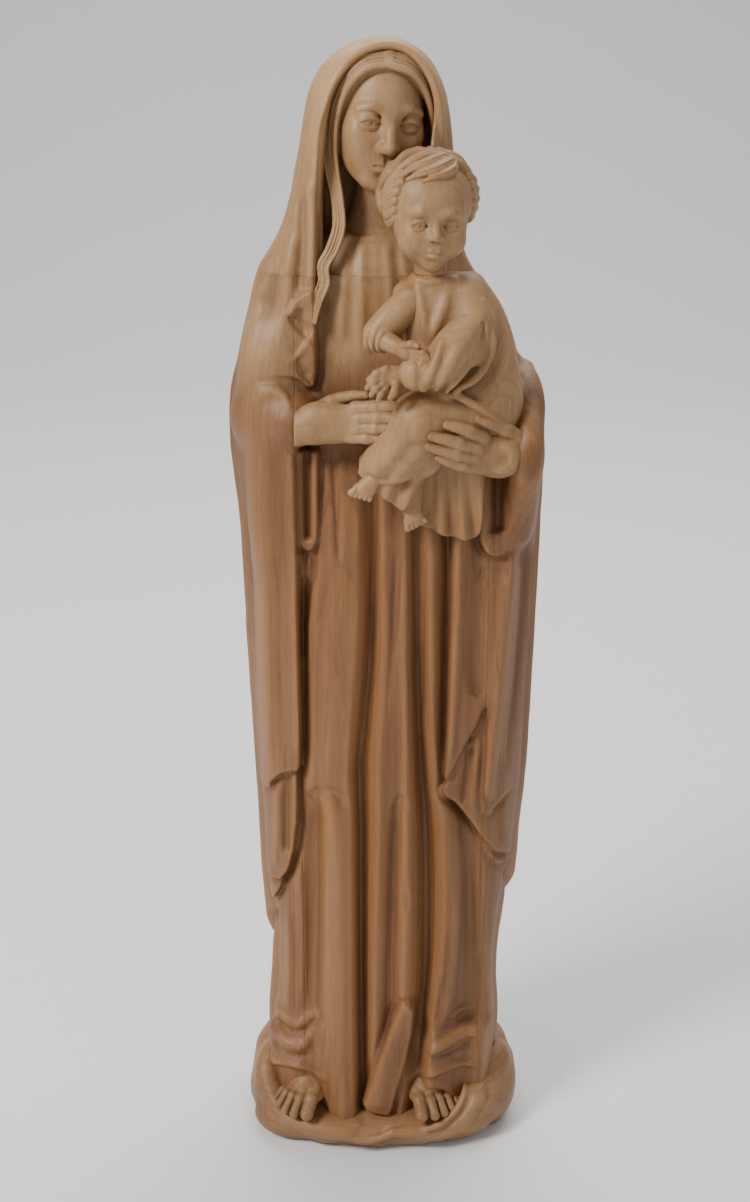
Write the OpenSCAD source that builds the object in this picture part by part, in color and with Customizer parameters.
// Carved and glued-up wooden figure of a standing Madonna with Child, on a cloud-shaped plinth.
// Frame: +Z up, front towards -Y, origin at the mouth of the bench-screw hole in the plinth's flat underside.
// "Right" and "left" are the figure's own, so its right side lies towards -X.

/* [Plinth] */
// Width of the plinth at its fullest
plinth_w = 204; // [190:1:230]
// Depth of the plinth at its fullest
plinth_d = 128; // [118:1:150]
// Height of the flat seat that the figure is glued on
seat_z = 20; // [14:1:28]
// Height of the cloud lobes round the figure
lobe_h = 22; // [8:1:30]

/* [Blank] */
// Glue face between the right mantle block and the gown block
right_glue_x = -57; // [-62:1:-52]
// Glue face between the left mantle block and the gown block
left_glue_x = 70; // [66:1:74]
// Glue face between the gown block and the back board
back_glue_y = 26; // [20:1:32]
// Level of the shoulder glue face, under the head and the veil
shoulder_z = 640; // [636:1:644]
// Level of the veil's crown
crown_z = 780; // [774:1:790]
// Flat pad on the gown block that the Child is glued on
child_pad_y = -45; // [-48:1:-44]
// Wall left outside the hollow in the gown block
hollow_wall = 22; // [18:1:30]

/* [Joinery] */
// Radius of the bench-screw hole under the plinth
bench_screw_r = 6; // [4:0.5:8]
// Depth of the bench-screw hole, through the plinth and into the gown block
bench_screw_l = 45; // [30:1:60]
// Radius of the plinth dowels
plinth_dowel_r = 5; // [4:0.5:6]
// Radius of the dowel in the neck
head_dowel_r = 6; // [4:0.5:7]
// Radius of the dowels in the hands and the Child
small_dowel_r = 4; // [3:0.5:4]
// Radius of the pegs in the Child's limbs
peg_r = 1.5; // [1:0.1:1.5]

/* [Heads] */
// Height of the Madonna's head, chin to crown of the hair
head_h = 86; // [80:1:90]
// Height of the Child's head, chin to crown
child_head_h = 68; // [62:1:72]

/* [Hidden] */

wood = "#a9825c";
wood_dark = "#94694a";
wood_light = "#bb9670";
beech = "#cfae84";

far = 400;             // half-size of a cutting block
glue = 0.05;           // thickness of a glue line
level_step = 18;       // height between the stations of a loft
dowel_play = 0.05;     // radial room round a dowel
rib = 0.4;             // room kept between carved pieces

// ---- Lofts ----

function spow(t, p) = sign(t) * pow(abs(t), 2 / p);
// An oval with its own reach to each side, anticlockwise from above
function oval(c, xl, xr, yf, yb, p, n) = [for (i = [0:n - 1]) let (a = 360 * i / n)
    [c.x + (cos(a) < 0 ? xl : xr) * spow(cos(a), p), c.y + (sin(a) < 0 ? yf : yb) * spow(sin(a), p)]];
function at_z(outline, z) = [for (q = outline) [q.x, q.y, z]];
function middle(ring) = [for (k = [0:2]) let (v = [for (q = ring) q[k]]) (min(v) + max(v)) / 2];

// A closed solid through rings of equal count, bottom to top, each anticlockwise from above
module loft(rings) {
    n = len(rings[0]);
    m = len(rings);
    points = concat([for (r = rings) each r], [middle(rings[0]), middle(rings[m - 1])]);
    walls = [for (j = [0:m - 2], i = [0:n - 1]) let (a = j * n + i, b = j * n + (i + 1) % n)
        each [[a, a + n, b + n], [a, b + n, b]]];
    bottom = [for (i = [0:n - 1]) [m * n, i, (i + 1) % n]];
    top = [for (i = [0:n - 1]) [m * n + 1, (m - 1) * n + (i + 1) % n, (m - 1) * n + i]];
    polyhedron(points = points, faces = concat(walls, bottom, top));
}

module dowel(p, direction, length, r) {
    translate(p) rotate(direction) cylinder(r = r, h = length, $fn = 32);
}

// ---- The draped body: reach to each side, front and back at each height ----

right_reach = [[20, 78], [80, 83], [125, 80], [150, 79], [175, 83], [245, 85], [310, 87], [380, 91],
    [433, 92.5], [476, 94], [507, 98], [533, 100], [557, 99.5], [580, 94], [611, 87], [640, 80]];
left_reach = [[20, 76], [80, 82], [100, 80], [125, 82], [175, 89], [205, 93.5], [280, 96], [380, 100.5],
    [476, 103], [507, 103.5], [533, 101], [552, 96], [570, 91], [586, 85], [600, 80], [625, 68], [640, 58]];
front_reach = [[20, 51], [100, 48], [300, 49], [480, 47], [560, 43], [600, 40], [640, 36]];
back_reach = [[20, 45], [150, 43], [300, 46], [480, 49], [560, 48], [600, 45], [640, 41]];
body_power = 2.6;

function side_reach(x, z) = x < 0 ? lookup(z, right_reach) : lookup(z, left_reach);
function round_off(x, z) = pow(max(0, 1 - pow(abs(x) / side_reach(x, z), body_power)), 1 / body_power);
function bump(x, centre, width) = exp(-pow((x - centre) / width, 2));
function fade(z, low, high) = min(1, max(0, (z - low) / 25)) * min(1, max(0, (high - z) / 25));

// Folds: [path of the crest as [z, x] pairs, half-width, height, lowest z, highest z]
folds = [
    [[[20, -36], [250, -37], [300, -38]], 9, 7, -30, 300],
    [[[280, -36], [450, -30], [520, -28]], 20, 5, 265, 535],
    [[[20, -13], [150, -6], [300, 0], [450, 2]], 5, 4, 60, 520],
    [[[90, 18], [250, 19], [300, 12], [450, 12]], 8, 4, 80, 500],
    [[[20, -18], [150, -15], [300, -15], [400, -8], [450, -7]], 5, -4, 10, 520],
    [[[20, 28], [150, 34], [300, 29], [450, 22]], 5, -4, 60, 500],
    [[[20, -4], [112, 18]], 10, 8, -30, 112],
    [[[120, 44], [300, 44], [450, 50]], 5, 4, 110, 500],
    [[[100, 66], [300, 62], [450, 60]], 6, -4, 90, 500]];

function relief(x, z) = sum_folds(x, z, 0);
function sum_folds(x, z, i) = i == len(folds) ? 0 :
    folds[i][2] * bump(x, lookup(z, folds[i][0]), folds[i][1]) * fade(z, folds[i][3], folds[i][4])
    + sum_folds(x, z, i + 1);
function gown_front(x, z) = -lookup(z, front_reach) * round_off(x, z) - relief(x, z);
// The pad is flat where the Child and the hands are glued on; the foot of the block is held to the seat
function on_pad(x, z) = (z > 500 && x > 5) || (z > 530 && z < 572 && x > -50);
function front_limit(z) = z < 40 ? child_pad_y - 8 : child_pad_y - 14;
function front_at(x, z) = on_pad(x, z) ? child_pad_y : max(gown_front(x, z), front_limit(z));

body_levels = [for (k = [0:ceil((shoulder_z - seat_z) / level_step)])
    min(shoulder_z, seat_z + k * level_step)];

// The gown block and the back board end at the glue face, or at the sloping left shoulder above it
function left_end(z) = min(left_glue_x - glue, side_reach(1, z) - 1);
function across(i, n, z) = right_glue_x + glue + (left_end(z) - right_glue_x - glue) * i / n;

function gown_outline(z, n = 30) = concat(
    [for (i = [0:n]) let (x = across(i, n, z)) [x, front_at(x, z)]],
    [for (i = [2:-1:0]) [across(i, 2, z), back_glue_y - glue]]);

module gown_solid() {
    loft([for (z = body_levels) at_z(gown_outline(z), z)]);
}

module gown_hollow() {
    translate([right_glue_x + hollow_wall, -22, 70])
        cube([left_glue_x - right_glue_x - 2 * hollow_wall, far, 530]);
}

module gown_block() color(wood) {
    difference() {
        gown_solid();
        gown_hollow();
        bench_screw_hole();
        plinth_dowel_holes();
        hand_dowel_holes();
        dowel(head_dowel_at, [0, 0, 0], head_dowel_l, head_dowel_r + dowel_play);
        child_dowel_holes();
    }
}

// A mantle block: flat on its glue face, round outside; side is -1 for the right, 1 for the left
function mantle_outline(side, z, n = 14) =
    let (glue_x = side < 0 ? right_glue_x - glue : left_glue_x + glue, reach = side_reach(side, z),
        yf = -lookup(z, front_reach) * round_off(glue_x, z) - mantle_lap(side, z),
        yb = lookup(z, back_reach) * round_off(glue_x, z) + 3, out = reach - abs(glue_x),
        arc = [for (i = [0:n]) let (t = -1 + 2 * i / n)
            [glue_x + side * out * pow(1 - pow(abs(t), 2.4), 1 / 2.4), (yf + yb) / 2 + (yb - yf) / 2 * t]])
    side > 0 ? arc : [for (i = [n:-1:0]) arc[i]];
// How far the mantle's front edge stands over the gown
function mantle_lap(side, z) = side < 0 ? lookup(z, [[20, 0], [180, 0], [215, 3], [300, 6], [560, 8], [640, 4]])
    : lookup(z, [[20, 0], [150, 0], [235, 4], [300, 8], [560, 8], [640, 2]]);

// The left block tapers out where the shoulder slopes in to the glue face
left_top_z = 618;
function mantle_levels(side) = side < 0 ? body_levels :
    concat([for (z = body_levels) if (z < left_top_z - level_step) z], [left_top_z]);

module mantle_solid(side) {
    loft([for (z = mantle_levels(side)) at_z(mantle_outline(side, z), z)]);
}

module right_mantle_block() color(wood_dark) {
    mantle_solid(-1);
}

module left_mantle_block() color(wood_dark) {
    difference() {
        mantle_solid(1);
        hand_dowel_holes();
    }
}

function back_outline(z, n = 12) = concat(
    [[right_glue_x + glue, back_glue_y + glue], [left_end(z), back_glue_y + glue]],
    [for (i = [n:-1:0]) let (x = across(i, n, z))
        [x, max(back_glue_y + 3, lookup(z, back_reach) * round_off(x, z) + 3 + 1.5 * cos(x * 14))]]);

module back_board() color(wood) {
    loft([for (z = body_levels) at_z(back_outline(z), z)]);
}

// ---- Plinth: rings from the underside, up the cloud lobes, and in to the seat ----

function cloud(a) = 1 - 0.025 * (1 + cos(5 * a + 20)) - 0.012 * (1 + cos(9 * a));
function lobe(a) = seat_z + lobe_h * max(0, pow(abs(cos(a)), 1.3)) + 2 * cos(7 * a);
function plinth_ring(share, heights, n = 48) = [for (i = [0:n - 1]) let (a = 360 * i / n)
    [plinth_w / 2 * share * cloud(a) * spow(cos(a), 2.3),
        plinth_d / 2 * share * cloud(a) * spow(sin(a), 2.3), heights[i]]];
function level_ring(z, n = 48) = [for (i = [0:n - 1]) z];
function lobe_ring(part, n = 48) = [for (i = [0:n - 1])
    seat_z * 0.9 * (1 - part) + lobe(360 * i / n) * part];

module plinth() color(wood_dark) {
    difference() {
        loft([plinth_ring(0.90, level_ring(0)), plinth_ring(0.975, level_ring(seat_z * 0.3)),
            plinth_ring(1, level_ring(seat_z * 0.9)), plinth_ring(0.985, lobe_ring(0.7)),
            plinth_ring(0.94, lobe_ring(1)), plinth_ring(0.88, lobe_ring(0.8)),
            plinth_ring(0.865, level_ring(seat_z))]);
        bench_screw_hole();
        plinth_dowel_holes();
    }
}

module bench_screw_hole() {
    translate([0, 0, -1]) cylinder(r = bench_screw_r, h = bench_screw_l + 1, $fn = 48);
}

plinth_dowel_xs = [-34, 44];
module at_plinth_dowels() {
    for (x = plinth_dowel_xs) translate([x, -4, seat_z - 14]) children();
}
module plinth_dowel_holes() {
    at_plinth_dowels() cylinder(r = plinth_dowel_r + dowel_play, h = 42, $fn = 32);
}
module plinth_dowels() color(beech) {
    at_plinth_dowels() translate([0, 0, 1]) cylinder(r = plinth_dowel_r, h = 40, $fn = 32);
}

// ---- Head and veil ----

neck = [-12, -4, shoulder_z];
head_tilt = 5;       // lean of the head towards the Child
head_dowel_at = [neck.x, neck.y, shoulder_z - 26];
head_dowel_l = 52;

// Stations of the head: [z above the shoulder, centre x, reach x, front, back]
head_stations = [[glue, 0, 27, 26, 14], [12, 0, 24, 23, 15], [24, 0, 15, 16, 15], [40, 0, 14, 16, 16],
    [50, -1, 15, 24, 18], [58, 1, 22, 30, 22], [72, 2, 27, 31, 28], [92, 4, 29, 32, 31],
    [112, 6, 28, 31, 30], [126, 7, 22, 24, 24], [133, 8, 13, 14, 14], [135, 8, 5, 6, 6]];

function head_ring(s, grow, n = 24) = at_z(oval([neck.x + s[1], neck.y], s[2] + grow, s[2] + grow,
    s[3] + grow, s[4] + grow, 2.2, n), shoulder_z + s[0]);

module head() color(wood_light) {
    difference() {
        loft([for (s = head_stations) head_ring(s, 0)]);
        dowel(head_dowel_at, [0, 0, 0], head_dowel_l, head_dowel_r + dowel_play);
    }
}
module head_dowel() color(beech) {
    dowel(head_dowel_at + [0, 0, 1], [0, 0, 0], head_dowel_l - 2, head_dowel_r);
}

// Stations of the veil: [z, right reach, left reach, front, back]
veil_stations = [[shoulder_z + glue, 79.5, 57.5, 38, 43], [650, 72, 51, 36, 42], [660, 66, 47, 35, 41],
    [685, 60, 44, 36, 41], [710, 54, 42, 38, 42], [735, 48, 38, 38, 42], [752, 43, 34, 36, 40],
    [764, 37, 29, 31, 35], [773, 28, 20, 22, 26], [778, 17, 11, 13, 16], [crown_z, 8, 4, 5, 8]];

module veil() color(wood) {
    difference() {
        loft([for (s = veil_stations) at_z(oval([-3, 0], s[1] - 3, s[2] + 3, s[3], s[4], 2.2, 36), s[0])]);
        // the room for the head, open to the front
        loft([for (s = concat([[-2, 0, 27, 0, 14]], head_stations))
            at_z(oval([neck.x + s[1], neck.y], s[2] + rib, s[2] + rib, 90, s[4] + rib, 4, 24),
                shoulder_z + s[0] + (s[0] > 120 ? rib : 0))]);
        // the room for the Child's head
        translate([child_head_at.x, child_head_at.y, shoulder_z - 5])
            cylinder(r = child_head_w / 2 + 3, h = child_head_h + 20, $fn = 48);
    }
}

// ---- Hands and feet ----

// A rounded limb through points, each [position, radius]
module limb(points, fn = 12) {
    for (i = [0:len(points) - 2]) hull() for (q = [points[i], points[i + 1]])
        translate(q[0]) sphere(r = q[1], $fn = fn);
}

module behind(y) {
    translate([-far, y, -far]) cube([2 * far, far, 4 * far]);
}

module right_hand() color(wood_light) {
    difference() {
        union() {
            limb([[[right_glue_x + 12, -56, 549], 15], [[-38, -58, 550], 13], [[-24, -59, 551], 12]]);
            for (i = [0:3]) limb([[[-25, -60, 559 - 6.5 * i], 4.4], [[-6, -63, 560 - 5.5 * i], 3.6],
                [[6 - 3 * i, -62, 562 - 5 * i], 3]]);
            limb([[[-36, -58, 560], 5], [[-14, -60, 568], 3.6]]);
        }
        behind(child_pad_y - rib);
        translate([right_glue_x - far, -far, 0]) cube([far, 2 * far, 2 * far]);
        hand_dowel_holes();
    }
}

module left_hand() color(wood_light) {
    difference() {
        union() {
            limb([[[88, -62, 530], 13], [[72, -68, 534], 13], [[60, -74, 540], 10]]);
            for (i = [0:3]) limb([[[62, -75, 546 - 7 * i], 4.8], [[46, -83, 552 - 6.5 * i], 4],
                [[36, -83, 556 - 7 * i], 3.2]]);
            limb([[[80, -70, 544], 5], [[66, -76, 556], 4]]);
        }
        child_masses(rib);
        mantle_room();
        hand_dowel_holes();
    }
}

// The left mantle block, a little grown, as room for the hand that meets it
module mantle_room() {
    translate([0, -rib, 0]) mantle_solid(1);
    behind(child_pad_y - rib);
}

hand_dowel_spots = [[[-42, -30, 550], [90, 0, 0], 32], [[84, -36, 529], [90, 0, 0], 32]];
module hand_dowel_holes() {
    for (s = hand_dowel_spots) dowel(s[0], s[1], s[2], small_dowel_r + dowel_play);
}
module hand_dowels() color(beech) {
    for (s = hand_dowel_spots) dowel(s[0], s[1], s[2], small_dowel_r);
}

// Toes fan out from the instep; side is -1 for the right foot, 1 for the left
module foot(side) {
    difference() {
        union() {
            limb([[[0, 22, 12], 14], [[0, 4, 10], 11], [[side * 2, -8, 7], 9]]);
            for (i = [0:4]) limb([[[side * (-7 + 4.5 * i), -8, 6], i == 0 ? 5.5 : 4],
                [[side * (-8 + 5.2 * i), i == 0 ? -20 : -19 + 2.2 * i, 4], i == 0 ? 5 : 3.4]]);
        }
        translate([-far, -far, -2 * far]) cube([2 * far, 2 * far, 2 * far]);
    }
}

foot_spots = [[-62, -42, -1, -22], [28, -42, 1, 18]];
module placed_foot(s) {
    difference() {
        translate([s[0], s[1], seat_z + glue]) rotate([0, 0, s[3]]) foot(s[2]);
        translate([0, -rib, 0]) gown_solid();
        translate([0, -rib, 0]) mantle_solid(-1);
    }
}
module right_foot() color(wood_light) { placed_foot(foot_spots[0]); }
module left_foot() color(wood_light) { placed_foot(foot_spots[1]); }

// ---- The Child ----

child_head_w = 54;
child_neck = [27, -50, 646];
child_head_at = [27, -50, 680];
child_hip = [44, -56, 556];

module child_masses(grow = 0) {
    limb([[[31, -58, 640 - grow], 11 + grow], [[34, -60, 622], 20 + grow], [[42, -60, 590], 21 + grow],
        [child_hip, 24 + grow]]);
    limb([[[50, -56, 630], 13 + grow], [[62, -56, 590], 14 + grow], [[64, -54, 560], 13 + grow]]);
    limb([[child_hip, 20 + grow], [[28, -68, 552], 17 + grow], [[0, -62, 530], 12 + grow],
        [[-8, -60, 523], 8 + grow]]);
    limb([[[44, -56, 530], 18 + grow], [[46, -58, 496], 17 + grow]]);
    limb([[[22, -58, 520], 10 + grow], [[20, -58, 505], 8 + grow]]);
}

module child_body() color(wood) {
    difference() {
        child_masses();
        behind(child_pad_y - rib);
        child_dowel_holes();
        dowel([child_neck.x, child_neck.y, child_neck.z - 18], [0, 0, 0], 34, small_dowel_r + dowel_play);
        translate([0, 0, child_neck.z]) cylinder(r = far, h = far);
        peg_holes();
    }
}

child_head_stations = [[0, 12, 12, 10], [8, 14, 15, 12], [16, 19, 23, 17], [32, 25, 28, 25],
    [50, 27, 28, 27], [60, 23, 24, 24], [66, 14, 15, 15], [child_head_h, 5, 5, 5]];

module child_head() color(wood_light) {
    difference() {
        loft([for (s = child_head_stations) at_z(oval([child_neck.x, child_neck.y], s[1], s[1], s[2], s[3],
            2.2, 24), child_neck.z + glue + s[0])]);
        dowel([child_neck.x, child_neck.y, child_neck.z - 18], [0, 0, 0], 34, small_dowel_r + dowel_play);
    }
}
module child_head_dowel() color(beech) {
    dowel([child_neck.x, child_neck.y, child_neck.z - 17], [0, 0, 0], 32, small_dowel_r);
}

module child_right_arm() color(wood) {
    difference() {
        union() {
            limb([[[10, -62, 622], 8], [[-6, -66, 607], 10], [[0, -72, 606], 8], [[10, -76, 604], 5]]);
            for (i = [0:3]) limb([[[9, -77, 608 - 3 * i], 2.2], [[17, -80, 608 - 3 * i], 1.8]]);
        }
        child_masses(rib);
        behind(child_pad_y - rib);
        peg_holes();
    }
}

module child_left_arm() color(wood) {
    difference() {
        union() {
            limb([[[50, -74, 632], 9], [[34, -80, 594], 11], [[16, -81, 592], 9], [[6, -78, 592], 5.5]]);
            for (i = [0:3]) limb([[[6, -79, 594 - 3.2 * i], 2.2], [[-2, -80, 588 - 3 * i], 1.8]]);
        }
        child_masses(rib);
        behind(child_pad_y - rib);
        peg_holes();
    }
}

module small_foot(turn) {
    rotate(turn) {
        limb([[[0, 0, 0], 6], [[0, 0, -8], 5.5]]);
        for (i = [0:4]) limb([[[-5 + 2.5 * i, -1, -8], 2.2], [[-5.6 + 2.8 * i, -2, -14 - (2 - i) * 0.7], 2]]);
    }
}
module child_right_foot() color(wood_light) {
    difference() {
        translate([-9, -64, 518]) small_foot([0, 38, 0]);
        child_masses(rib);
        peg_holes();
    }
}
module child_left_foot() color(wood_light) {
    difference() {
        translate([19, -60, 497]) small_foot([0, 8, 0]);
        child_masses(rib);
        behind(child_pad_y - rib);
        peg_holes();
    }
}

child_dowel_spots = [[40, -28, 604], [46, -28, 548]];
child_dowel_l = 30;
module child_dowel_holes() {
    for (s = child_dowel_spots) dowel(s, [90, 0, 0], child_dowel_l, small_dowel_r + dowel_play);
}
module child_dowels() color(beech) {
    for (s = child_dowel_spots) dowel(s + [0, -1, 0], [90, 0, 0], child_dowel_l - 2, small_dowel_r);
}

// Pegs: [start, direction, length], each from inside the body out into a limb
peg_spots = [[[20, -62, 617], [0, -90, 0], 16], [[39, -70, 606], [90, 0, 0], 15],
    [[-2, -62, 526], [0, -142, 0], 14], [[19, -59, 508], [180, 0, 0], 14]];
module peg_holes() {
    for (s = peg_spots) dowel(s[0], s[1], s[2], peg_r + dowel_play);
}
module child_pegs() color(beech) {
    for (s = peg_spots) dowel(s[0], s[1], s[2], peg_r);
}

plinth();
gown_block();
right_mantle_block();
left_mantle_block();
back_board();
veil();
head();
right_hand();
left_hand();
right_foot();
left_foot();
child_body();
child_head();
child_right_arm();
child_left_arm();
child_right_foot();
child_left_foot();
plinth_dowels();
head_dowel();
hand_dowels();
child_dowels();
child_head_dowel();
child_pegs();
